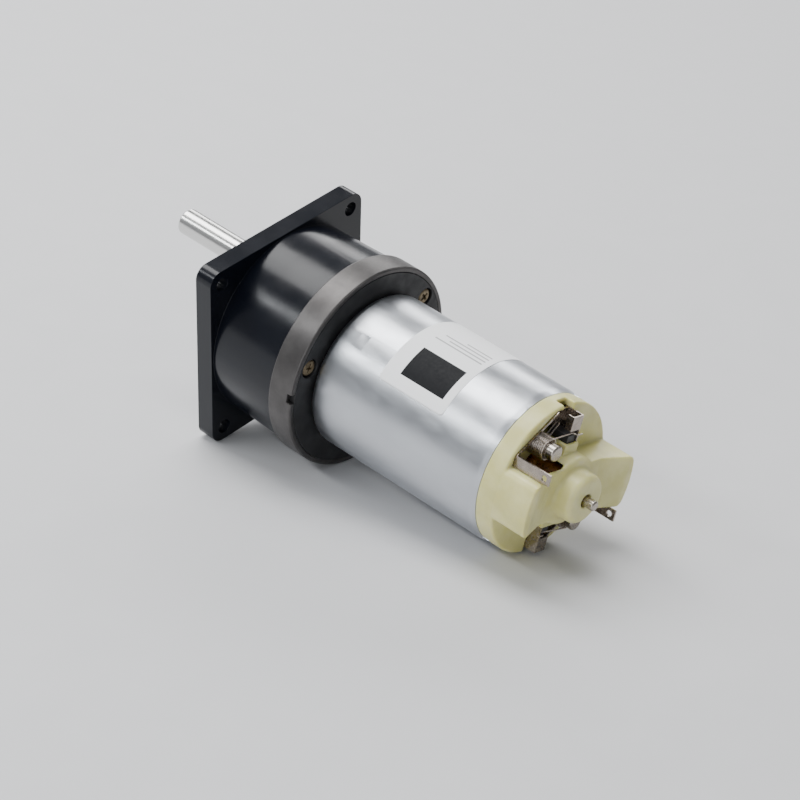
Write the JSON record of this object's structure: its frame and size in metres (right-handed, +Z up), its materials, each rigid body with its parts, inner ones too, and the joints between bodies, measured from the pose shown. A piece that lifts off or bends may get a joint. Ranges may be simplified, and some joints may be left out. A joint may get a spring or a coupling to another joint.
{
  "type": "dc gear motor",
  "caption": "Brushed direct-current motor with a spur gearbox, a square mounting flange, an offset output shaft and an open rear brush gear.",
  "frame": {"origin": "centre of the flange's mounting face, on the motor's axis", "axes": "+X out along the output shaft, +Z up from the motor's axis to the output shaft, +Y to the left seen from the rear"},
  "size_m": [0.1211, 0.0476, 0.0476],
  "materials": {
    "cast_black": "gloss",
    "band_steel": "satin",
    "plate_black": "matte",
    "zinc": "satin",
    "steel": "polished",
    "nickel": "polished",
    "brass": "satin",
    "bronze": "matte",
    "copper": "satin",
    "ferrite": "matte",
    "nylon": "satin",
    "carbon": "matte",
    "fibre": "matte",
    "paper": "satin"
  },
  "bodies": {
    "casing": {"gearbox_housing": "cast_black", "cover_band": "band_steel", "rear_plate": "plate_black", "gearbox_screws": "brass", "motor_screws": "steel", "output_bush": "bronze", "output_rear_bush": "bronze", "idler_pin_a": "steel", "idler_pin_b": "steel", "idler_washer": "steel", "idler_spacer": "brass", "motor_can": "zinc", "label": "paper", "magnets": "ferrite", "magnet_clips": "steel", "front_bearing": "bronze", "rear_bearing": "bronze", "end_cap": "nylon", "upper_brush_holder": "nickel", "lower_brush_holder": "nickel", "upper_brush": "carbon", "lower_brush": "carbon", "upper_brush_spring": "nickel", "lower_brush_spring": "nickel", "upper_spring_post": "steel", "lower_spring_post": "steel"},
    "rotor": {"motor_shaft": "steel", "motor_pinion": "brass", "armature_core": "steel", "windings": "copper", "commutator": "copper", "rotor_spacers": "fibre"},
    "first_cluster": {"first_wheel": "brass", "first_pinion": "steel"},
    "second_cluster": {"second_wheel": "brass", "second_pinion": "steel"},
    "output": {"output_shaft": "steel", "output_wheel": "brass", "thrust_washer": "steel"}
  },
  "joints": [
    {"name": "rotor_spin", "type": "hinge", "parent": "casing", "child": "rotor", "pos_m": [0, 0, 0], "axis": [1, 0, 0], "continuous": true},
    {"name": "first_cluster_spin", "type": "hinge", "parent": "casing", "child": "first_cluster", "pos_m": [-0.024, 0.00575, -0.00996], "axis": [1, 0, 0], "continuous": true},
    {"name": "second_cluster_spin", "type": "hinge", "parent": "casing", "child": "second_cluster", "pos_m": [-0.02, 0.00916, 0.0005], "axis": [1, 0, 0], "continuous": true},
    {"name": "output_spin", "type": "hinge", "parent": "casing", "child": "output", "pos_m": [0, 0, 0.01], "axis": [1, 0, 0], "continuous": true}
  ],
  "couplings": [
    {"joint": "first_cluster_spin", "follows": "rotor_spin", "ratio": -0.35294},
    {"joint": "second_cluster_spin", "follows": "rotor_spin", "ratio": 0.13235},
    {"joint": "output_spin", "follows": "rotor_spin", "ratio": -0.049632}
  ]
}
